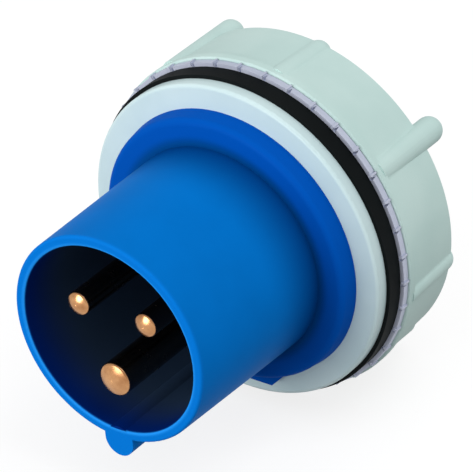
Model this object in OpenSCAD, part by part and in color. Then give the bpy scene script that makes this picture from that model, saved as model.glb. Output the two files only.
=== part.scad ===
// Panel-mounted appliance inlet with three contact pins and one clamp nut.
// Millimetres. The inlet's axis is Y: the open rim faces -Y, the wiring side faces +Y, and +Z is up.
// The plane Y = 0 is the rear face of the panel gasket, where the panel's front face comes.

/* [Sleeve] */
// Outside diameter of the sleeve at its open rim
sleeve_d = 44; // [40:0.5:48]
// Wall of the sleeve at its open rim
sleeve_wall = 2.2; // [1.8:0.1:3]
// Length of the sleeve from its rim to the collar
sleeve_len = 36.3; // [32:0.1:42]
// Moulding draft of the sleeve's outside, widening towards the collar, in degrees
sleeve_draft = 1; // [0:0.25:2]
// Rounding of the rim's inner and outer edges
rim_round = 0.6; // [0.3:0.1:0.8]
// Width of the half-round key under the sleeve
key_w = 6.6; // [5:0.1:8]
// How far the key stands out from the rim
key_reach = 3.9; // [3.2:0.1:5]

/* [Collar] */
// How far the collar stands out from the foot of the sleeve
collar_w = 6.1; // [5:0.1:8]
// Thickness of the collar
collar_t = 4; // [3.4:0.1:6]
// Taper of the collar's side, narrowing towards its front, in degrees
collar_draft = 8; // [0:1:12]
// Rounding of the collar's front edge
collar_round = 1.4; // [0.5:0.1:1.6]
// How far the locating lug below the key stands out from the collar
lug_h = 0.8; // [0.5:0.1:3]
// Width of the flat at the bottom of the locating lug
lug_w = 15.5; // [6:0.5:16]
// Angle of the lug's sides to its middle line
lug_slope = 45; // [20:1:45]
// Wall of the skirt behind the collar, which takes the carrier screws
skirt_wall = 4.2; // [3.8:0.1:6]

/* [Collar seal] */
// Width of the seal ring's section
seal_w = 1.8; // [1.2:0.1:2]
// Height of the seal ring's section
seal_t = 1.6; // [1:0.1:2]

/* [Mounting body] */
// How far the flange stands out from the collar
flange_w = 5; // [4:0.1:8]
// Thickness of the flange
flange_t = 2.8; // [2:0.1:4]
// Rounding of the flange's front edge
flange_round = 0.7; // [0.3:0.1:1.2]
// Width of the ledge inside the flange that the contact carrier bears on
ledge_w = 1.6; // [1:0.1:3]
// Wall of the hollow spigot below its thread
spigot_wall = 2.6; // [2:0.1:4]
// Length of the spigot behind the panel plane
spigot_len = 20.5; // [16:0.5:21]
// Depth of the spigot's thread, from its root to its crest
thread_depth = 1.1; // [0.8:0.1:1.6]

/* [Panel gasket] */
// How far the gasket stands out from the flange
gasket_w = 0.8; // [0.5:0.05:3]
// Thickness of the gasket
gasket_t = 3.6; // [2:0.1:5]

/* [Serrated washer] */
// How far the washer stands out from the gasket
washer_w = 0.8; // [0.4:0.05:2]
// Thickness of the washer
washer_t = 1.4; // [1.2:0.1:2]
// Number of teeth on the washer's rim
tooth_n = 38; // [12:1:60]
// Width of a tooth
tooth_w = 0.45; // [0.3:0.05:0.8]
// How far a tooth stands out from the washer's rim and from its front face
tooth_h = 0.3; // [0.2:0.05:0.4]
// Width of the V-shaped notch beside each tooth, at the washer's front face
notch_w = 0.55; // [0.3:0.05:0.8]
// Depth of the notch, inwards from the washer's rim
notch_d = 0.8; // [0.4:0.05:1.5]
// Length of the notch, back from the washer's front face
notch_len = 1.1; // [0.6:0.05:1.15]

/* [Clamp nut] */
// Length of the nut
nut_len = 16.2; // [13:0.1:17.5]
// How far the nut's front lip stands out from the washer
lip_w = 0.5; // [0.45:0.05:1]
// Length of the nut's front lip
lip_len = 1.7; // [1:0.1:3]
// Step from the lip down to the tapered body
lip_step = 0.5; // [0.3:0.05:0.8]
// Taper of the nut's body towards its rear, in degrees
nut_taper = 2.5; // [1:0.5:5]
// Number of large grips, with as many small ridges between them
grip_n = 4; // [3:1:6]
// Diameter of a large grip
grip_d = 5.5; // [4:0.1:6]
// How far a large grip stands out from the lip
grip_h = 0.4; // [0.2:0.05:1]
// How far the centre of a grip's round end lies past the nut's rear face
grip_over = 3.6; // [0:0.1:4]
// Diameter of a small ridge
ridge_d = 5; // [4:0.1:6]
// How far a small ridge stands out from the nut's body
ridge_h = 0.75; // [0.4:0.05:1]
// Radius of the hollow flanks that blend a grip or ridge into the nut's body
flank_r = 2; // [1:0.1:3]

/* [Contact pins] */
// Diameter of the circle through the three pins
pin_circle_d = 18.4; // [17.5:0.1:20]
// Diameter of the earth pin
earth_d = 7; // [6:0.1:8]
// Diameter of the line and neutral pins
line_d = 5; // [4:0.1:6]
// Distance from the rim back to the tip of the earth pin
earth_set = 0; // [0:0.1:4]
// Distance from the rim back to the tips of the line and neutral pins
line_set = 1.2; // [0:0.1:6]
// Radius of the earth pin's domed end
earth_dome_r = 8; // [5:0.5:30]
// Radius of the line and neutral pins' domed ends
line_dome_r = 4; // [3.5:0.25:20]
// Rounding of the edge between a pin's domed end and its side
tip_round = 0.6; // [0.2:0.1:1]
// How far a pin's seat in the carrier stands out from the pin
seat_w = 0.5; // [0.3:0.1:0.8]
// How far a pin's shoulder stands out from its terminal barrel
shoulder_w = 1.3; // [0.8:0.1:1.8]
// Thickness of a pin's shoulder
shoulder_t = 1.6; // [1:0.1:2.4]
// Diameter of a pin's terminal barrel
barrel_d = 9.4; // [8.4:0.1:10]
// Diameter of the conductor hole in a terminal barrel
conductor_d = 4.2; // [3:0.1:4.6]
// Depth of the conductor hole
conductor_depth = 12; // [9:0.5:16]

/* [Contact carrier] */
// Thickness of the carrier's flange
carrier_t = 3.6; // [3:0.1:5]
// Height of the plug that closes the foot of the sleeve
plug_len = 4.3; // [3:0.1:5]
// Wall of the raised ring round each pin
boss_wall = 1; // [0.8:0.1:2]
// Height of the raised ring round each pin
boss_h = 0.8; // [0.4:0.1:1.5]

/* [Terminal block] */
// Thickness of the block's base
block_t = 3; // [2:0.1:4]
// Length of the terminal towers behind the base
tower_len = 26; // [25:0.5:30]
// Wall of a terminal tower
tower_wall = 1.7; // [1.2:0.1:2]
// How far a terminal barrel is sunk below its tower's end
barrel_set = 0.6; // [0:0.1:2]
// Thickness of the insulating webs between the towers
web_t = 2; // [1.2:0.1:2.4]
// How far the webs are cut back from the towers' ends
web_set = 2; // [0:0.5:6]

/* [Screws] */
// Diameter of a carrier screw
carrier_screw_d = 3; // [2.5:0.1:3.2]
// Diameter of a carrier screw's head
carrier_head_d = 5.6; // [5:0.1:6]
// Height of a carrier screw's head
carrier_head_t = 1.9; // [1.4:0.1:2.4]
// Collar left whole in front of a carrier screw's tip
carrier_screw_cover = 2; // [1.2:0.1:2.6]
// Diameter of a terminal screw
terminal_screw_d = 4; // [3:0.1:4.5]
// Diameter of a terminal screw's head
terminal_head_d = 6.2; // [5.2:0.1:6.8]
// Height of a terminal screw's head
terminal_head_t = 2.2; // [1.6:0.1:3]
// Distance from a tower's end to the axis of its terminal screw
terminal_screw_set = 5; // [4.5:0.1:6]
// Width of the slot in a screw's head
slot_w = 0.9; // [0.6:0.1:1.2]
// Depth of the slot in a screw's head
slot_t = 1.1; // [0.6:0.1:1.2]

/* [Fits] */
// Radial clearance between the skirt and the flange's bore
skirt_fit = 0.2; // [0.1:0.05:0.4]
// Gap left ahead of the carrier's flange so that it bears on the ledge
skirt_gap = 0.2; // [0.1:0.05:0.5]
// Radial clearance of the carrier's plug in the sleeve, and of its flange in the spigot
carrier_fit = 0.2; // [0.1:0.05:0.4]
// Radial clearance of a pin, shoulder or barrel in its hole
pin_fit = 0.1; // [0.05:0.05:0.2]
// Radial clearance of a screw in a clear hole
screw_fit = 0.15; // [0.1:0.05:0.3]
// Radial clearance of a screw in its tapped hole
tap_fit = 0.05; // [0.03:0.01:0.1]
// Radial clearance of the gasket round the spigot's neck
gasket_fit = 0.2; // [0.1:0.05:0.5]
// Clearance between the seal ring and the sides of its groove
seal_fit = 0.1; // [0.05:0.05:0.2]
// Radial clearance of the washer and the nut round the thread's crest
thread_fit = 0.3; // [0.2:0.05:0.5]
// Radial clearance between the washer's teeth and the gasket's rim
tooth_fit = 0.3; // [0.2:0.05:0.4]
// Axial play between the washer and the nut
washer_play = 0.1; // [0.05:0.05:0.3]

/* [Hidden] */
$fn = 96;

// A small overlap that joins pieces of one solid, and runs cuts out past a face
lap = 0.5;

// Stations along the axis, from the panel plane forward
flange_rear_y = -gasket_t;
collar_rear_y = flange_rear_y - flange_t;
collar_front_y = collar_rear_y - collar_t;
rim_y = collar_front_y - sleeve_len;
carrier_rear_y = flange_rear_y + carrier_t;
floor_y = flange_rear_y - plug_len;
boss_front_y = floor_y - boss_h;
screw_tip_y = collar_front_y + carrier_screw_cover;

// Stations along the axis, from the panel plane back
block_face_y = carrier_rear_y + block_t;
tower_end_y = block_face_y + tower_len;
barrel_end_y = tower_end_y - barrel_set;
terminal_screw_y = tower_end_y - terminal_screw_set;
nut_front_y = washer_t + washer_play;
nut_rear_y = nut_front_y + nut_len;
body_front_y = nut_front_y + lip_len + lip_step;

// Radii, from the sleeve outwards
rim_r = sleeve_d / 2;
sleeve_in_r = rim_r - sleeve_wall;
foot_r = rim_r + sleeve_len * tan(sleeve_draft);
skirt_r = sleeve_in_r + skirt_wall;
flange_bore_r = skirt_r + skirt_fit;
spigot_in_r = flange_bore_r + ledge_w;
thread_root_r = spigot_in_r + spigot_wall;
thread_crest_r = thread_root_r + thread_depth;
collar_r = foot_r + collar_w;
flange_r = collar_r + flange_w;
gasket_r = flange_r + gasket_w;
washer_r = gasket_r + washer_w;
seal_mid_r = (flange_bore_r + collar_r) / 2;
// How far behind the collar's rounded edge the lug begins
lug_step = 0.3;

// Radii of the nut
nut_bore_r = thread_crest_r + thread_fit;
lip_r = washer_r + lip_w;
body_front_r = lip_r - lip_step;
body_rear_r = body_front_r - (nut_rear_y - body_front_y) * tan(nut_taper);
lip_round = 0.4;
nut_edge = 0.5;
nut_lead_in = 1;
// Large grips run along the axis; small ridges follow the taper and stop just short of the rear face
grip_mid_r = lip_r + grip_h - grip_d / 2;
ridge_mid_r = body_front_r + ridge_h - ridge_d / 2;
ridge_set = 1.3;
ridge_len = (nut_rear_y - body_front_y - ridge_set) / cos(nut_taper);
// Depth of a flank's root and of its foot below the body's surface, and how far it bites into its grip
flank_root = 2;
flank_sink = 0.15;
flank_bite = 0.05;
grip_phase = 33.2;
grip_step = 360 / grip_n;
tooth_phase = 43.2;
tooth_step = 360 / tooth_n;
notch_turn = 1;

// Places of the contacts, as angles from +X towards +Z
earth_angle = 270;
line_angle = 30;
neutral_angle = 150;
contact_angles = [earth_angle, line_angle, neutral_angle];
seat_rs = [earth_d / 2 + seat_w, line_d / 2 + seat_w, line_d / 2 + seat_w];
web_angles = [90, 210, 330];
pin_circle_r = pin_circle_d / 2;
barrel_r = barrel_d / 2;
shoulder_r = barrel_r + shoulder_w;
tower_r = barrel_r + pin_fit + tower_wall;
web_reach = pin_circle_r + tower_r;
core_r = pin_circle_r - tower_r + 2 * lap;
carrier_r = spigot_in_r - carrier_fit;
plug_r = sleeve_in_r - carrier_fit;
carrier_screw_r = sleeve_in_r + skirt_wall / 2;
terminal_tip_r = pin_circle_r + conductor_d / 2 + pin_fit;
terminal_seat_r = pin_circle_r + barrel_r + pin_fit;

// A profile of radius and height, turned about the inlet's axis
module turned() {
    rotate([-90, 0, 0])
        rotate_extrude()
            children();
}

// A rectangle in a turned profile, from one radius and station to another
module band(r0, r1, y0, y1) {
    translate([r0, y0])
        square([r1 - r0, y1 - y0]);
}

// A band whose outer front corner is rounded by a quarter of a disc
module front_rounded_band(r0, r1, y0, y1, corner) {
    band(r0, r1 - corner, y0, y1);
    band(r0, r1, y0 + corner, y1);
    translate([r1 - corner, y0])
        intersection() {
            square(corner);
            translate([0, corner])
                circle(corner);
        }
}

// A band whose side narrows towards the front by a draft angle, with its front corner rounded
module drafted_band(r0, r1, y0, y1, corner, draft) {
    drop = (y1 - y0 - corner) * tan(draft);
    front_rounded_band(r0, r1 - drop, y0, y1, corner);
    polygon([
        [r0, y0 + corner],
        [r1 - drop, y0 + corner],
        [r1, y1],
        [r0, y1]
    ]);
}

// A place on a circle round the axis, turned so that local X points outwards
module at_angle(angle, radius) {
    rotate([0, -angle, 0])
        translate([radius, 0, 0])
            children();
}

// A cylinder along Y between two stations
module rod(r, y0, y1) {
    translate([0, y0, 0])
        rotate([-90, 0, 0])
            cylinder(r = r, h = y1 - y0);
}

// A round rod along Y whose rear end is a half sphere centred on its last station
module round_ended_rod(r, y0, y1) {
    turned() {
        band(0, r, y0, y1);
        translate([0, y1])
            intersection() {
                circle(r);
                square(r);
            }
    }
}

// A flat shape pushed along Y, with the shape's own Y pointing down
module slab(y0, y1) {
    translate([0, y0, 0])
        rotate([-90, 0, 0])
            linear_extrude(y1 - y0)
                children();
}

// Section of the sleeve's wall, tapered outside and rounded at the rim
module sleeve_section() {
    polygon([
        [sleeve_in_r, rim_y + rim_round],
        [rim_r, rim_y + rim_round],
        [foot_r, collar_front_y],
        [foot_r, collar_front_y + lap],
        [sleeve_in_r, collar_front_y + lap]
    ]);
    band(sleeve_in_r + rim_round, rim_r - rim_round, rim_y, rim_y + rim_round);
    for (mid_r = [sleeve_in_r + rim_round, rim_r - rim_round])
        translate([mid_r, rim_y + rim_round])
            circle(rim_round);
}

// Half-round key, rooted in the sleeve's wall
module key_shape() {
    key_mid = rim_r + key_reach - key_w / 2;
    translate([0, key_mid])
        circle(d = key_w);
    translate([-key_w / 2, rim_r - sleeve_wall / 2])
        square([key_w, key_mid - rim_r + sleeve_wall / 2]);
}

// Lug below the axis: a flat foot whose sloping sides run in under the collar's edge
module lug_shape() {
    foot_y = collar_r + lug_h;
    root_r = lug_w / 2 * cos(lug_slope) + foot_y * sin(lug_slope);
    root_x = root_r * cos(lug_slope);
    root_y = root_r * sin(lug_slope);
    polygon([
        [0, 0],
        [-root_x, root_y],
        [-lug_w / 2, foot_y],
        [lug_w / 2, foot_y],
        [root_x, root_y]
    ]);
}

// Blue moulding: open sleeve, key, collar with its lug, and the skirt that passes through the flange
module front_sleeve() {
    color("#0a6abe")
        difference() {
            union() {
                turned() {
                    sleeve_section();
                    drafted_band(sleeve_in_r, collar_r, collar_front_y, collar_rear_y,
                                 collar_round, collar_draft);
                    band(sleeve_in_r, skirt_r, collar_rear_y - lap, flange_rear_y - skirt_gap);
                }
                slab(rim_y, collar_front_y + lap)
                    key_shape();
                difference() {
                    slab(collar_front_y + collar_round + lug_step, collar_rear_y)
                        lug_shape();
                    rod(collar_r - collar_w / 2, collar_front_y, collar_rear_y + lap);
                }
            }
            turned()
                band(seal_mid_r - seal_w / 2 - seal_fit, seal_mid_r + seal_w / 2 + seal_fit,
                     collar_rear_y - seal_t, collar_rear_y + lap);
            for (angle = web_angles)
                at_angle(angle, carrier_screw_r)
                    rod(carrier_screw_d / 2 + tap_fit, screw_tip_y - lap, flange_rear_y);
        }
}

// Rubber ring between the collar and the flange
module collar_seal() {
    color("#202224")
        turned()
            band(seal_mid_r - seal_w / 2, seal_mid_r + seal_w / 2, collar_rear_y - seal_t, collar_rear_y);
}

// Pale moulding: flange, plain neck below the gasket, and the hollow spigot at its thread's root
module mounting_body() {
    color("#c8dae0")
        turned()
            difference() {
                union() {
                    front_rounded_band(flange_bore_r, flange_r, collar_rear_y, flange_rear_y, flange_round);
                    band(spigot_in_r, thread_crest_r, flange_rear_y - lap, 0);
                    band(spigot_in_r, thread_root_r, -lap, spigot_len);
                }
                // Lead-in for the nut at the spigot's rear edge
                polygon([
                    [thread_root_r - nut_lead_in / 2, spigot_len],
                    [thread_root_r, spigot_len - nut_lead_in / 2],
                    [thread_root_r + lap, spigot_len - nut_lead_in / 2],
                    [thread_root_r + lap, spigot_len + lap],
                    [thread_root_r - nut_lead_in / 2, spigot_len + lap]
                ]);
            }
}

// Rubber ring that seals the flange to the panel
module panel_gasket() {
    color("#17191a")
        turned()
            band(thread_crest_r + gasket_fit, gasket_r, flange_rear_y, 0);
}

// V-shaped notch, open at the washer's front face
module notch_shape() {
    mouth = notch_w / 2 * (1 + lap / notch_len);
    polygon([
        [-mouth, -lap],
        [mouth, -lap],
        [0, notch_len]
    ]);
}

// Washer that grips the panel's rear face with a ring of small teeth, each beside a notch
module serrated_washer() {
    tooth_in_r = gasket_r + tooth_fit;
    tooth_out_r = washer_r + tooth_h;
    color("#b5bfd0")
        difference() {
            union() {
                turned()
                    band(thread_crest_r + thread_fit, washer_r, 0, washer_t);
                for (i = [0 : tooth_n - 1])
                    at_angle(tooth_phase + i * tooth_step, tooth_in_r)
                        translate([0, -tooth_h, -tooth_w / 2])
                            cube([tooth_out_r - tooth_in_r, washer_t + tooth_h, tooth_w]);
            }
            for (i = [0 : tooth_n - 1])
                at_angle(tooth_phase - notch_turn + i * tooth_step, washer_r - notch_d)
                    rotate([0, 90, 0])
                        linear_extrude(notch_d + lap)
                            notch_shape();
        }
}

// Section of the nut: rounded lip, step, tapered body and lead-ins of its thread
module nut_section() {
    translate([lip_r - lip_round, nut_front_y + lip_round])
        circle(lip_round);
    polygon([
        [nut_bore_r, nut_front_y + nut_lead_in],
        [nut_bore_r + nut_lead_in, nut_front_y],
        [lip_r - lip_round, nut_front_y],
        [lip_r, nut_front_y + lip_round],
        [lip_r, nut_front_y + lip_len],
        [body_front_r, body_front_y],
        [body_rear_r, nut_rear_y - nut_edge],
        [body_rear_r - nut_edge, nut_rear_y],
        [nut_bore_r + nut_lead_in, nut_rear_y],
        [nut_bore_r, nut_rear_y - nut_lead_in]
    ]);
}

// Hollow flanks on both sides of a grip or ridge of radius r that stands out from the body by h
module grip_flanks(r, h) {
    rise = flank_r - flank_sink + r - h;
    reach = sqrt(pow(r + flank_r, 2) - pow(rise, 2)) - flank_bite;
    crown = h - r + rise * r / (r + flank_r);
    translate([body_front_r, body_front_y, 0])
        rotate([0, 0, nut_taper])
            slab(-lip_step - lap, ridge_len)
                difference() {
                    translate([-flank_root, -reach])
                        square([flank_root + crown, 2 * reach]);
                    for (side = [-1, 1])
                        translate([flank_r - flank_sink, side * reach])
                            circle(flank_r);
                }
}

// Pale clamp nut with large round-ended grips and small ridges by turns
module clamp_nut() {
    grip_front_y = nut_front_y + lip_len - lap;
    color("#b6cfcb") {
        turned()
            nut_section();
        for (i = [0 : grip_n - 1]) {
            at_angle(grip_phase + i * grip_step, grip_mid_r)
                round_ended_rod(grip_d / 2, grip_front_y, nut_rear_y + grip_over);
            at_angle(grip_phase + (i + 0.5) * grip_step, ridge_mid_r)
                translate([0, body_front_y, 0])
                    rotate([0, 0, nut_taper])
                        round_ended_rod(ridge_d / 2, -lip_step - lap, ridge_len);
            at_angle(grip_phase + i * grip_step, 0)
                grip_flanks(grip_d / 2, lip_step + grip_h);
            at_angle(grip_phase + (i + 0.5) * grip_step, 0)
                grip_flanks(ridge_d / 2, ridge_h);
        }
    }
}

// Black moulding that closes the sleeve's foot and carries the pins
module contact_carrier() {
    color("#15171a")
        difference() {
            union() {
                rod(plug_r, floor_y, flange_rear_y + lap);
                rod(carrier_r, flange_rear_y, carrier_rear_y);
                for (i = [0 : 2])
                    at_angle(contact_angles[i], pin_circle_r)
                        rod(seat_rs[i] + pin_fit + boss_wall, boss_front_y, floor_y + lap);
            }
            for (i = [0 : 2])
                at_angle(contact_angles[i], pin_circle_r) {
                    rod(seat_rs[i] + pin_fit, boss_front_y - lap, carrier_rear_y + lap);
                    rod(shoulder_r + pin_fit, carrier_rear_y - shoulder_t, carrier_rear_y + lap);
                }
            for (angle = web_angles)
                at_angle(angle, carrier_screw_r)
                    rod(carrier_screw_d / 2 + screw_fit, flange_rear_y - lap, carrier_rear_y + lap);
        }
}

// Black moulding that traps the pins' shoulders and keeps the terminals apart
module terminal_block() {
    color("#1b1d20")
        difference() {
            union() {
                rod(carrier_r, carrier_rear_y, block_face_y);
                rod(core_r, carrier_rear_y, tower_end_y - web_set);
                for (angle = contact_angles)
                    at_angle(angle, pin_circle_r)
                        rod(tower_r, carrier_rear_y, tower_end_y);
                for (angle = web_angles)
                    at_angle(angle, 0)
                        translate([0, carrier_rear_y, -web_t / 2])
                            cube([web_reach, tower_end_y - web_set - carrier_rear_y, web_t]);
            }
            for (angle = contact_angles)
                at_angle(angle, pin_circle_r) {
                    rod(barrel_r + pin_fit, carrier_rear_y - lap, tower_end_y + lap);
                    translate([0, terminal_screw_y, 0])
                        rotate([0, 90, 0])
                            cylinder(d = terminal_head_d + 2 * screw_fit, h = tower_r + lap);
                }
            for (angle = web_angles)
                at_angle(angle, carrier_screw_r)
                    rod(carrier_screw_d / 2 + screw_fit, carrier_rear_y - lap, block_face_y + lap);
        }
}

// Half section of a pin whose domed end runs smoothly into a rounded edge
module domed_pin(r, tip_y, dome_r) {
    edge_r = r - tip_round;
    reach = sqrt(pow(dome_r - tip_round, 2) - pow(edge_r, 2));
    edge_y = tip_y + dome_r - reach;
    band(0, r, edge_y, carrier_rear_y);
    intersection() {
        translate([0, tip_y + dome_r])
            circle(dome_r);
        band(0, edge_r * dome_r / (dome_r - tip_round), tip_y - lap, edge_y + lap);
    }
    translate([edge_r, edge_y])
        circle(tip_round);
}

// Turned contact: domed pin, seat, shoulder, and a barrel with its conductor hole and tapped hole
module contact_pin(angle, d, tip_y, dome_r) {
    at_angle(angle, pin_circle_r)
        difference() {
            turned() {
                domed_pin(d / 2, tip_y, dome_r);
                band(0, d / 2 + seat_w, boss_front_y, carrier_rear_y);
                band(0, shoulder_r, carrier_rear_y - shoulder_t, carrier_rear_y);
                band(0, barrel_r, carrier_rear_y - lap, barrel_end_y);
            }
            rod(conductor_d / 2, barrel_end_y - conductor_depth, barrel_end_y + lap);
            translate([0, terminal_screw_y, 0])
                rotate([0, 90, 0])
                    cylinder(d = terminal_screw_d + 2 * tap_fit, h = barrel_r + lap);
        }
}

module earth_pin() {
    color("#c9905a")
        contact_pin(earth_angle, earth_d, rim_y + earth_set, earth_dome_r);
}

module line_pin() {
    color("#c9905a")
        contact_pin(line_angle, line_d, rim_y + line_set, line_dome_r);
}

module neutral_pin() {
    color("#c9905a")
        contact_pin(neutral_angle, line_d, rim_y + line_set, line_dome_r);
}

// Slotted screw along +X with its head's seat at the origin and its shank towards -X
module slotted_screw(d, shank, head_d, head_t) {
    difference() {
        union() {
            rotate([0, 90, 0])
                cylinder(d = head_d, h = head_t);
            translate([-shank, 0, 0])
                rotate([0, 90, 0])
                    cylinder(d = d, h = shank + lap);
        }
        translate([head_t - slot_t, -head_d, -slot_w / 2])
            cube([slot_t + lap, 2 * head_d, slot_w]);
    }
}

// Three screws that draw the block and the carrier to the sleeve's skirt
module carrier_screws() {
    carrier_shank = block_face_y - screw_tip_y;
    color("#b9bcc0")
        for (angle = web_angles)
            at_angle(angle, carrier_screw_r)
                translate([0, block_face_y, 0])
                    rotate([0, 0, 90])
                        slotted_screw(carrier_screw_d, carrier_shank, carrier_head_d, carrier_head_t);
}

// Three terminal screws, backed out to leave the conductor holes clear
module terminal_screws() {
    terminal_shank = terminal_seat_r - terminal_tip_r;
    color("#b9bcc0")
        for (angle = contact_angles)
            at_angle(angle, terminal_seat_r)
                translate([0, terminal_screw_y, 0])
                    slotted_screw(terminal_screw_d, terminal_shank, terminal_head_d, terminal_head_t);
}

front_sleeve();
collar_seal();
mounting_body();
panel_gasket();
serrated_washer();
clamp_nut();
contact_carrier();
terminal_block();
earth_pin();
line_pin();
neutral_pin();
carrier_screws();
terminal_screws();
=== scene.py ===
import bpy
import numpy as np
from mathutils import Matrix, Vector


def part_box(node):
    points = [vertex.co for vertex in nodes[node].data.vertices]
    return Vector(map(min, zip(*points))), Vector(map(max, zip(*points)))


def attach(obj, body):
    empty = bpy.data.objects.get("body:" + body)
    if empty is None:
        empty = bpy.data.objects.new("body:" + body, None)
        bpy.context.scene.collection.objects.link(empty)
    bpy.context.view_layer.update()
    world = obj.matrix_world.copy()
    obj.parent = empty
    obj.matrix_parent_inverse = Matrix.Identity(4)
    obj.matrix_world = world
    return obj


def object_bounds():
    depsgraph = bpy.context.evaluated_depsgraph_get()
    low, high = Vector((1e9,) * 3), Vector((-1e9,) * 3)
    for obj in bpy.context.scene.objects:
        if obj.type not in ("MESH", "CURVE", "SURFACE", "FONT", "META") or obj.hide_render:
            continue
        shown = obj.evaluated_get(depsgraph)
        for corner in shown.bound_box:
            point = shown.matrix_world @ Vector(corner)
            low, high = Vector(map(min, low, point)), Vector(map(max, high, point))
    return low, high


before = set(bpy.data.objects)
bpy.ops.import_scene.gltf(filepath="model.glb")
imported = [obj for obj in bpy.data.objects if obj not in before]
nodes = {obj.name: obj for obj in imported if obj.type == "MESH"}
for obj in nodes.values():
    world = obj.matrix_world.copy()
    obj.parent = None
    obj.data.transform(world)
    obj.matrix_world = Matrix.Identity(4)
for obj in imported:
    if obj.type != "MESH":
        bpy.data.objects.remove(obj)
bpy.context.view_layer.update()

# Front sleeve with its collar, key and lug, one injection moulding in blue polyamide.
# The mating connector slides into it. Draft widens it towards the collar, and the corner
# where the two meet is painted darker as painted shade.
mm = 0.001


def linear(code):
    """An sRGB hex code as linear RGBA: each channel c, from 0 to 1, becomes
    ((c + 0.055) / 1.055) ** 2.4, or c / 12.92 where it is 0.04045 or less."""
    c = np.array([int(code[i : i + 2], 16) for i in (1, 3, 5)]) / 255
    rgb = np.where(c <= 0.04045, c / 12.92, ((c + 0.055) / 1.055) ** 2.4)
    return (*rgb.tolist(), 1.0)


def add_node(tree, kind, settings=None, inputs=None):
    """Adds a node: settings are its own properties, and an input is a value or the output
    socket that feeds it."""
    node = tree.nodes.new(kind)
    for key, value in (settings or {}).items():
        setattr(node, key, value)
    for key, value in (inputs or {}).items():
        if isinstance(value, bpy.types.NodeSocket):
            tree.links.new(value, node.inputs[key])
        else:
            node.inputs[key].default_value = value
    return node


def moulded(name, deep, pale, grain_mm, depth_mm, rough, ior, gloss):
    """A moulded surface: slow drifts between two close tones, and the mould's grain as a
    shallow relief. Returns the material, its Object coordinates, its tone and its shader."""
    material = bpy.data.materials.new(name)
    material.use_nodes = True
    tree = material.node_tree
    tree.nodes.clear()
    place = add_node(tree, "ShaderNodeTexCoord").outputs["Object"]
    # The drifts follow the melt's flow marks, which are about this wide.
    flow_mm, drift_low, drift_high = 16, 0.3, 0.7
    flow = add_node(
        tree,
        "ShaderNodeTexNoise",
        inputs={"Vector": place, "Scale": 1 / (flow_mm * mm), "Detail": 3},
    ).outputs["Fac"]
    spread = add_node(
        tree,
        "ShaderNodeMapRange",
        {"interpolation_type": "SMOOTHSTEP"},
        {"Value": flow, "From Min": drift_low, "From Max": drift_high},
    ).outputs["Result"]
    tone = add_node(
        tree,
        "ShaderNodeMix",
        {"data_type": "RGBA"},
        {"Factor": spread, "A": linear(deep), "B": linear(pale)},
    ).outputs["Result"]
    # A spark-eroded mould's grain is about 0.1 mm across; drawn coarser so that it shows.
    grain_strength = 0.5
    grain = add_node(
        tree,
        "ShaderNodeTexNoise",
        inputs={"Vector": place, "Scale": 1 / (grain_mm * mm), "Detail": 2},
    ).outputs["Fac"]
    relief = add_node(
        tree,
        "ShaderNodeBump",
        inputs={
            "Height": grain,
            "Strength": grain_strength,
            "Distance": depth_mm * mm,
        },
    ).outputs["Normal"]
    rough_swing = 0.05
    sheen = add_node(
        tree,
        "ShaderNodeMapRange",
        inputs={
            "Value": flow,
            "To Min": rough - rough_swing,
            "To Max": rough + rough_swing,
        },
    ).outputs["Result"]
    shader = add_node(
        tree,
        "ShaderNodeBsdfPrincipled",
        inputs={
            "Base Color": tone,
            "IOR": ior,
            "Specular IOR Level": gloss,
            "Roughness": sheen,
            "Normal": relief,
        },
    )
    add_node(
        tree, "ShaderNodeOutputMaterial", inputs={"Surface": shader.outputs["BSDF"]}
    )
    return material, place, tone, shader


# Glass-filled polyamide: saturated blue, satin, with hardly any highlight. The rim is painted
# paler as painted light, with a painted highlight along its inner edge. The collar's face is
# painted a deeper blue as painted shade, darker still towards the corner. The bore is painted
# shade: navy at its mouth and slate at its foot.
blue, place, tone, shader = moulded(
    "blue_moulded_polyamide",
    deep="#006CC0",
    pale="#0071C8",
    grain_mm=0.6,
    depth_mm=0.02,
    rough=0.5,
    ior=1.53,
    gloss=0.012,
)
tree = blue.node_tree
rim_y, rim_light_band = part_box("front_sleeve")[0].y, 1.2 * mm
bore_r, bore_fade, bore_deep = 19.8 * mm, 0.5 * mm, 14 * mm
collar_y, collar_r, collar_fade = -12 * mm, 22.8 * mm, 1 * mm
corner_shade_front, corner_shade_back, corner_shade_r = -25 * mm, -9 * mm, 25.2 * mm
station = add_node(tree, "ShaderNodeSeparateXYZ", inputs={"Vector": place}).outputs["Y"]
across = add_node(
    tree,
    "ShaderNodeVectorMath",
    {"operation": "MULTIPLY"},
    {0: place, 1: (1, 0, 1)},
).outputs["Vector"]
radius = add_node(
    tree, "ShaderNodeVectorMath", {"operation": "LENGTH"}, {0: across}
).outputs["Value"]
# Painted light: the rim's front band is paler, and a painted highlight runs along its inner
# edge.
edge = add_node(
    tree,
    "ShaderNodeMapRange",
    {"interpolation_type": "SMOOTHSTEP"},
    {"Value": station, "From Min": rim_y + rim_light_band, "From Max": rim_y},
).outputs["Result"]
inner_edge = add_node(
    tree,
    "ShaderNodeMapRange",
    {"interpolation_type": "SMOOTHSTEP"},
    {"Value": radius, "From Min": bore_r + 2 * bore_fade, "From Max": bore_r},
).outputs["Result"]
rim = add_node(
    tree,
    "ShaderNodeMix",
    {"data_type": "RGBA"},
    {"Factor": inner_edge, "A": linear("#0474D2"), "B": linear("#2496F4")},
).outputs["Result"]
with_rim_light = add_node(
    tree,
    "ShaderNodeMix",
    {"data_type": "RGBA"},
    {"Factor": edge, "A": tone, "B": rim},
).outputs["Result"]
outward = add_node(
    tree,
    "ShaderNodeMapRange",
    {"interpolation_type": "SMOOTHSTEP"},
    {"Value": radius, "From Min": collar_r, "From Max": collar_r + collar_fade},
).outputs["Result"]
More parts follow.
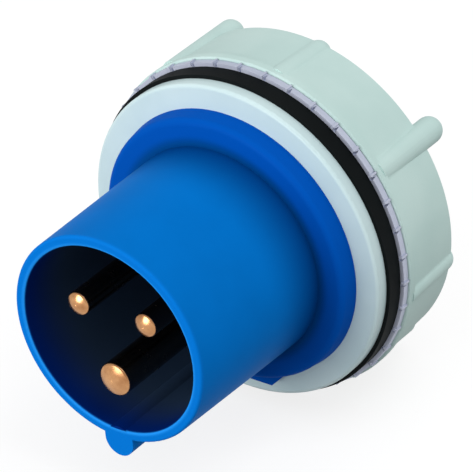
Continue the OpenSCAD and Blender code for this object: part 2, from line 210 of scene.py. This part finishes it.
on_collar = add_node(
    tree,
    "ShaderNodeMapRange",
    {"interpolation_type": "SMOOTHSTEP"},
    {
        "Value": station,
        "From Min": collar_y - collar_fade,
        "From Max": collar_y,
        "To Max": outward,
    },
).outputs["Result"]
# Painted shade: the collar's face is a deeper blue.
with_collar_shade = add_node(
    tree,
    "ShaderNodeMix",
    {"data_type": "RGBA"},
    {"Factor": on_collar, "A": with_rim_light, "B": linear("#0052B3")},
).outputs["Result"]
# Painted shade: darker in the corner where the collar meets the sleeve.
near_collar = add_node(
    tree,
    "ShaderNodeMapRange",
    {"interpolation_type": "SMOOTHSTEP"},
    {"Value": station, "From Min": corner_shade_front, "From Max": corner_shade_back},
).outputs["Result"]
corner = add_node(
    tree,
    "ShaderNodeMapRange",
    {"interpolation_type": "SMOOTHSTEP"},
    {
        "Value": radius,
        "From Min": corner_shade_r,
        "From Max": collar_r,
        "To Max": near_collar,
    },
).outputs["Result"]
outside = add_node(
    tree,
    "ShaderNodeMix",
    {"data_type": "RGBA"},
    {"Factor": corner, "A": with_collar_shade, "B": linear("#004286")},
).outputs["Result"]
# Painted shade: the bore is dark, navy at its mouth and slate at its foot.
depth = add_node(
    tree,
    "ShaderNodeMapRange",
    {"interpolation_type": "SMOOTHSTEP"},
    {"Value": station, "From Min": rim_y, "From Max": rim_y + bore_deep},
).outputs["Result"]
bore = add_node(
    tree,
    "ShaderNodeMix",
    {"data_type": "RGBA"},
    {"Factor": depth, "A": linear("#002470"), "B": linear("#30445F")},
).outputs["Result"]
in_bore = add_node(
    tree,
    "ShaderNodeMapRange",
    {"interpolation_type": "SMOOTHSTEP"},
    {"Value": radius, "From Min": bore_r + bore_fade / 2, "From Max": bore_r},
).outputs["Result"]
sleeve_tone = add_node(
    tree,
    "ShaderNodeMix",
    {"data_type": "RGBA"},
    {"Factor": in_bore, "A": outside, "B": bore},
).outputs["Result"]
tree.links.new(sleeve_tone, shader.inputs["Base Color"])
nodes["front_sleeve"].material_slots[0].material = blue

# Collar seal and panel gasket, rings of black rubber, moulded and punched from sheet.
# The seal lies in a groove behind the collar. The gasket is squeezed between the flange
# and the panel.

# Nitrile rubber: near black, dull, with a faint grey sheen where it faces the light.
rubber = moulded(
    "black_moulded_rubber",
    deep="#0A0E0F",
    pale="#101415",
    grain_mm=0.8,
    depth_mm=0.03,
    rough=0.62,
    ior=1.52,
    gloss=0.05,
)[0]
for name in ("collar_seal", "panel_gasket"):
    nodes[name].material_slots[0].material = rubber

# Mounting body, the flange and hollow spigot in one injection moulding of pale polyamide.
# The flange bears on the gasket, and the spigot passes through the panel's hole and
# carries the thread that the nut runs on.

# Pigmented polyamide: a cool, slightly blue white with a soft broad sheen.
pale = moulded(
    "pale_moulded_polyamide",
    deep="#C4DBDE",
    pale="#CDE2E4",
    grain_mm=0.7,
    depth_mm=0.02,
    rough=0.4,
    ior=1.53,
    gloss=0.25,
)[0]
nodes["mounting_body"].material_slots[0].material = pale


def helical_ridge(name, root, crest, start, end, phase, material):
    """A trapezoid carried along a right-hand helix about Y: at angle a the section stands at
    (r cos a, start + pitch a / 2 pi, -r sin a). At each end its height runs out to nothing
    over an eighth of a turn, as the square root of the angle left."""
    pitch, foot, tip, sunk, per_turn = 3 * mm, 1.7 * mm, 0.7 * mm, 0.25 * mm, 72
    runout, buried = np.pi / 4, 0.02 * mm
    turns = (end - start) / pitch
    a = np.linspace(0, 2 * np.pi * turns, int(per_turn * turns) + 1)
    height = np.clip(np.minimum(a, a[-1] - a) / runout, 0, 1)[:, None] ** 0.5
    out = np.sign(crest - root)
    rise = np.array([-sunk, 0, abs(crest - root), abs(crest - root), 0, -sunk])
    side = np.array([-foot, -foot, -tip, tip, foot, foot]) / 2
    lift = np.where(rise > 0, rise * height - buried * (height == 0), rise)
    r = root + out * lift
    y = start + pitch * a[:, None] / (2 * np.pi) + side
    turn = (a + phase)[:, None]
    points = np.stack([r * np.cos(turn), y, -r * np.sin(turn)], axis=-1)
    rings, corners = points.shape[:2]
    i, j = np.meshgrid(np.arange(rings - 1), np.arange(corners), indexing="ij")
    k = (j + 1) % corners
    quads = np.stack(
        [
            i * corners + j,
            (i + 1) * corners + j,
            (i + 1) * corners + k,
            i * corners + k,
        ],
        axis=-1,
    ).reshape(-1, 4)
    caps = [list(range(corners)), list(range((rings - 1) * corners, rings * corners))]
    if out > 0:
        quads = quads[:, ::-1]
        caps[1].reverse()
    else:
        caps[0].reverse()
    mesh = bpy.data.meshes.new(name)
    mesh.from_pydata(points.reshape(-1, 3).tolist(), [], quads.tolist() + caps)
    mesh.materials.append(material)
    piece = bpy.data.objects.new(name, mesh)
    bpy.context.scene.collection.objects.link(piece)
    return piece


thread_lead = 1.2 * mm
spigot_thread = helical_ridge(
    "spigot_thread",
    root=28.4 * mm,
    crest=29.5 * mm,
    start=thread_lead,
    end=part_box("mounting_body")[1].y - thread_lead,
    phase=0.0,
    material=pale,
)
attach(spigot_thread, "inlet")

# Contact carrier and terminal block, compression mouldings that hold the contacts.
# The carrier closes the foot of the sleeve, and the block behind it has a tower round
# each terminal and webs that part them.

# Mineral-filled thermoset: black, close and slightly waxy.
black = moulded(
    "black_moulded_thermoset",
    deep="#08090B",
    pale="#0D0F11",
    grain_mm=0.8,
    depth_mm=0.02,
    rough=0.5,
    ior=1.55,
    gloss=0.15,
)[0]
for name in ("contact_carrier", "terminal_block"):
    nodes[name].material_slots[0].material = black

# Contact pins, turned from brass bar, each with a rounded tip and a drilled terminal barrel.
# They pass through the carrier from behind. The mating sockets keep the tips bright, and
# the shanks behind them are painted dark as painted shade.


def turned_brass(name, tip_y):
    """Brass whose bright tip gives way to a shank painted dark as painted shade, over a short
    fade behind the tip. The barrel, which starts inside the carrier, is bright again."""
    material = bpy.data.materials.new(name)
    material.use_nodes = True
    tree = material.node_tree
    tree.nodes.clear()
    place = add_node(tree, "ShaderNodeTexCoord").outputs["Object"]
    station = add_node(
        tree, "ShaderNodeSeparateXYZ", inputs={"Vector": place}
    ).outputs["Y"]
    stain_mm, bright, fade = 2.5, 0.75 * mm, 0.6 * mm
    carrier_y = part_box("contact_carrier")[0].y
    stain = add_node(
        tree,
        "ShaderNodeTexNoise",
        inputs={"Vector": place, "Scale": 1 / (stain_mm * mm), "Detail": 4},
    ).outputs["Fac"]
    metal = add_node(
        tree,
        "ShaderNodeMix",
        {"data_type": "RGBA"},
        {"Factor": stain, "A": linear("#844E2A"), "B": linear("#E2AE7C")},
    ).outputs["Result"]
    # Painted shade: behind the bright tip the shank is painted a dark bronze grey.
    behind = add_node(
        tree,
        "ShaderNodeMapRange",
        {"interpolation_type": "SMOOTHSTEP"},
        {
            "Value": station,
            "From Min": tip_y + bright,
            "From Max": tip_y + bright + fade,
        },
    ).outputs["Result"]
    shank = add_node(
        tree,
        "ShaderNodeMapRange",
        inputs={
            "Value": station,
            "From Min": carrier_y + fade,
            "From Max": carrier_y + 2 * fade,
            "To Min": behind,
            "To Max": 0.0,
        },
    ).outputs["Result"]
    colour = add_node(
        tree,
        "ShaderNodeMix",
        {"data_type": "RGBA"},
        {"Factor": shank, "A": metal, "B": linear("#6E665C")},
    ).outputs["Result"]
    # The lathe's rings are finer than this in the metal; drawn coarser so that they show.
    ring_mm, bands_per_unit, ring_waver = 0.5, 3.2, 0.5
    ring_strength, ring_depth = 0.15, 0.005 * mm
    rings = add_node(
        tree,
        "ShaderNodeTexWave",
        {"wave_type": "BANDS", "bands_direction": "Y"},
        {
            "Vector": place,
            "Scale": 1 / (bands_per_unit * ring_mm * mm),
            "Distortion": ring_waver,
        },
    ).outputs["Fac"]
    relief = add_node(
        tree,
        "ShaderNodeBump",
        inputs={"Height": rings, "Strength": ring_strength, "Distance": ring_depth},
    ).outputs["Normal"]
    rough_low, rough_high = 0.22, 0.3
    dull = add_node(
        tree,
        "ShaderNodeMapRange",
        inputs={"Value": stain, "To Min": rough_low, "To Max": rough_high},
    ).outputs["Result"]
    shader = add_node(
        tree,
        "ShaderNodeBsdfPrincipled",
        inputs={
            "Base Color": colour,
            "Metallic": 1.0,
            "Roughness": dull,
            "Normal": relief,
        },
    )
    add_node(
        tree, "ShaderNodeOutputMaterial", inputs={"Surface": shader.outputs["BSDF"]}
    )
    return material


# Free-cutting brass: warm, reddish where it is stained, with a small sharp highlight.
earth_brass = turned_brass("turned_brass_earth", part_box("earth_pin")[0].y)
phase_brass = turned_brass("turned_brass_phase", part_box("line_pin")[0].y)
nodes["earth_pin"].material_slots[0].material = earth_brass
for name in ("line_pin", "neutral_pin"):
    nodes[name].material_slots[0].material = phase_brass

# Carrier and terminal screws, cold-headed steel with a thin zinc plate.
# Three hold the carrier to the sleeve, and one in each tower clamps the conductor
# in its barrel.


def plated(name, deep, pale, patch_mm, rough, lustre):
    """Zinc plate on steel: cloudy patches of two greys, with the roughness following the
    patches."""
    material = bpy.data.materials.new(name)
    material.use_nodes = True
    tree = material.node_tree
    tree.nodes.clear()
    place = add_node(tree, "ShaderNodeTexCoord").outputs["Object"]
    patch = add_node(
        tree,
        "ShaderNodeTexNoise",
        inputs={"Vector": place, "Scale": 1 / (patch_mm * mm), "Detail": 5},
    ).outputs["Fac"]
    colour = add_node(
        tree,
        "ShaderNodeMix",
        {"data_type": "RGBA"},
        {"Factor": patch, "A": linear(deep), "B": linear(pale)},
    ).outputs["Result"]
    rough_swing = 0.08
    dull = add_node(
        tree,
        "ShaderNodeMapRange",
        inputs={
            "Value": patch,
            "To Min": rough - rough_swing,
            "To Max": rough + rough_swing,
        },
    ).outputs["Result"]
    shader = add_node(
        tree,
        "ShaderNodeBsdfPrincipled",
        inputs={"Base Color": colour, "Metallic": lustre, "Roughness": dull},
    )
    add_node(
        tree, "ShaderNodeOutputMaterial", inputs={"Surface": shader.outputs["BSDF"]}
    )
    return material


# Bright zinc: a bluish grey lustre with cloudy patches.
screw_steel = plated(
    "zinc_plated_screw_steel",
    deep="#9A9FA8",
    pale="#BCC1C9",
    patch_mm=3,
    rough=0.34,
    lustre=1.0,
)
for name in ("carrier_screws", "terminal_screws"):
    nodes[name].material_slots[0].material = screw_steel

# Serrated washer, stamped from plated sheet, with teeth pressed out round its edge.
# It lies between the panel and the nut, and its teeth bite into the panel so that the
# inlet can't turn.

# Passivated zinc: pale lavender grey, more chalky than metallic.
washer_steel = plated(
    "zinc_plated_washer_steel",
    deep="#B2B8CB",
    pale="#C3C8D9",
    patch_mm=4,
    rough=0.5,
    lustre=0.35,
)
nodes["serrated_washer"].material_slots[0].material = washer_steel

# Clamp nut, an injection moulding in grey-green polyamide with grips round its outside.
# Its thread is moulded in and unscrews from the tool. It draws the flange and gasket
# against the panel.

# Pigmented polyamide: a pale grey green, close to matt.
nut_plastic = moulded(
    "grey_green_moulded_polyamide",
    deep="#BBD5D1",
    pale="#C4DCD8",
    grain_mm=0.7,
    depth_mm=0.02,
    rough=0.5,
    ior=1.53,
    gloss=0.06,
)[0]
nodes["clamp_nut"].material_slots[0].material = nut_plastic
nut_front, nut_thread_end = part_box("clamp_nut")[0].y, 15 * mm
nut_thread = helical_ridge(
    "nut_thread",
    root=29.8 * mm,
    crest=28.7 * mm,
    start=nut_front + thread_lead,
    end=nut_front + nut_thread_end,
    phase=np.pi,
    material=nut_plastic,
)
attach(nut_thread, "nut")

# Studio floor, a sheet of white paper that keeps the inlet's soft shadow.
# Rays that show it to the eye, straight or by way of gloss or glass, find it near white;
# what it throws back onto the inlet stays a plain grey.
floor_z, floor_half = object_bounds()[0].z, 3.0
floor_mesh = bpy.data.meshes.new("studio_floor")
floor_mesh.from_pydata(
    [
        (-floor_half, -floor_half, floor_z),
        (floor_half, -floor_half, floor_z),
        (floor_half, floor_half, floor_z),
        (-floor_half, floor_half, floor_z),
    ],
    [],
    [(0, 1, 2, 3)],
)
floor = bpy.data.objects.new("studio_floor", floor_mesh)
bpy.context.scene.collection.objects.link(floor)


def rays_that_show(tree):
    """1 on camera, glossy and transmission rays, 0 on the rays that only carry light."""
    path = add_node(tree, "ShaderNodeLightPath").outputs
    straight = add_node(
        tree,
        "ShaderNodeMath",
        {"operation": "MAXIMUM"},
        {0: path["Is Camera Ray"], 1: path["Is Glossy Ray"]},
    ).outputs["Value"]
    return add_node(
        tree,
        "ShaderNodeMath",
        {"operation": "MAXIMUM"},
        {0: straight, 1: path["Is Transmission Ray"]},
    ).outputs["Value"]


# White paper: matt and even.
paper = bpy.data.materials.new("white_paper")
paper.use_nodes = True
tree = paper.node_tree
tree.nodes.clear()
paper_glow = 0.78
lit = add_node(
    tree, "ShaderNodeBsdfDiffuse", inputs={"Color": linear("#8C8C8C")}
).outputs["BSDF"]
strength = add_node(
    tree,
    "ShaderNodeMath",
    {"operation": "MULTIPLY"},
    {0: rays_that_show(tree), 1: paper_glow},
).outputs["Value"]
glow = add_node(
    tree, "ShaderNodeEmission", inputs={"Strength": strength}
).outputs["Emission"]
surface = add_node(
    tree, "ShaderNodeAddShader", inputs={0: lit, 1: glow}
).outputs["Shader"]
add_node(tree, "ShaderNodeOutputMaterial", inputs={"Surface": surface})
floor_mesh.materials.append(paper)

# Studio light: a white tent all round, and three soft lamps inside it.
# The key lamp stands in front and a little to the left, one lamp hangs above, and a weak
# one fills the right-hand side.
world = bpy.data.worlds.new("studio")
bpy.context.scene.world = world
world.use_nodes = True
tree = world.node_tree
tree.nodes.clear()
tent_light, tent_seen = 0.84, 1.0
level = add_node(
    tree,
    "ShaderNodeMapRange",
    inputs={"Value": rays_that_show(tree), "To Min": tent_light, "To Max": tent_seen},
).outputs["Result"]
tent = add_node(
    tree, "ShaderNodeBackground", inputs={"Strength": level}
).outputs["Background"]
add_node(tree, "ShaderNodeOutputWorld", inputs={"Surface": tent})

lamp_distance = 0.6
lamps = {
    "key_lamp": {"towards": (-0.22, -0.95, 0.16), "across": 0.3, "watts": 2.0},
    "top_lamp": {"towards": (0.5, -0.02, 0.86), "across": 0.4, "watts": 1.05},
    "side_lamp": {"towards": (0.9, 0.2, 0.1), "across": 0.4, "watts": 0.4},
}
for name, lamp in lamps.items():
    light = bpy.data.lights.new(name, "AREA")
    light.shape = "DISK"
    light.size = lamp["across"]
    light.energy = lamp["watts"]
    spot = Vector(lamp["towards"]).normalized() * lamp_distance
    holder = bpy.data.objects.new(name, light)
    holder.matrix_world = (
        Matrix.Translation(spot) @ spot.to_track_quat("Z", "Y").to_matrix().to_4x4()
    )
    bpy.context.scene.collection.objects.link(holder)

# Camera at the photograph's place, a long lens that looks down into the sleeve's mouth
# from its front right. Its position and axes come from fitting the circles of the rim,
# collar, flange and nut.
eye = Vector((420.296, -520.785, 398.88)) * mm
right = Vector((0.803044, 0.589913, -0.084403))
up = Vector((-0.246873, 0.458234, 0.853859))
back = Vector((0.542379, -0.664849, 0.513616))
focal_px, frame_px, sensor_mm = 4000, 473, 36
lens = bpy.data.cameras.new("photo_camera")
lens.sensor_width = sensor_mm
lens.lens = focal_px / frame_px * sensor_mm
camera = bpy.data.objects.new("photo_camera", lens)
axes = Matrix((right, up, back)).transposed()
camera.matrix_world = Matrix.Translation(eye) @ axes.to_4x4()
bpy.context.scene.collection.objects.link(camera)
bpy.context.scene.camera = camera
bpy.context.scene.view_settings.view_transform = "Standard"
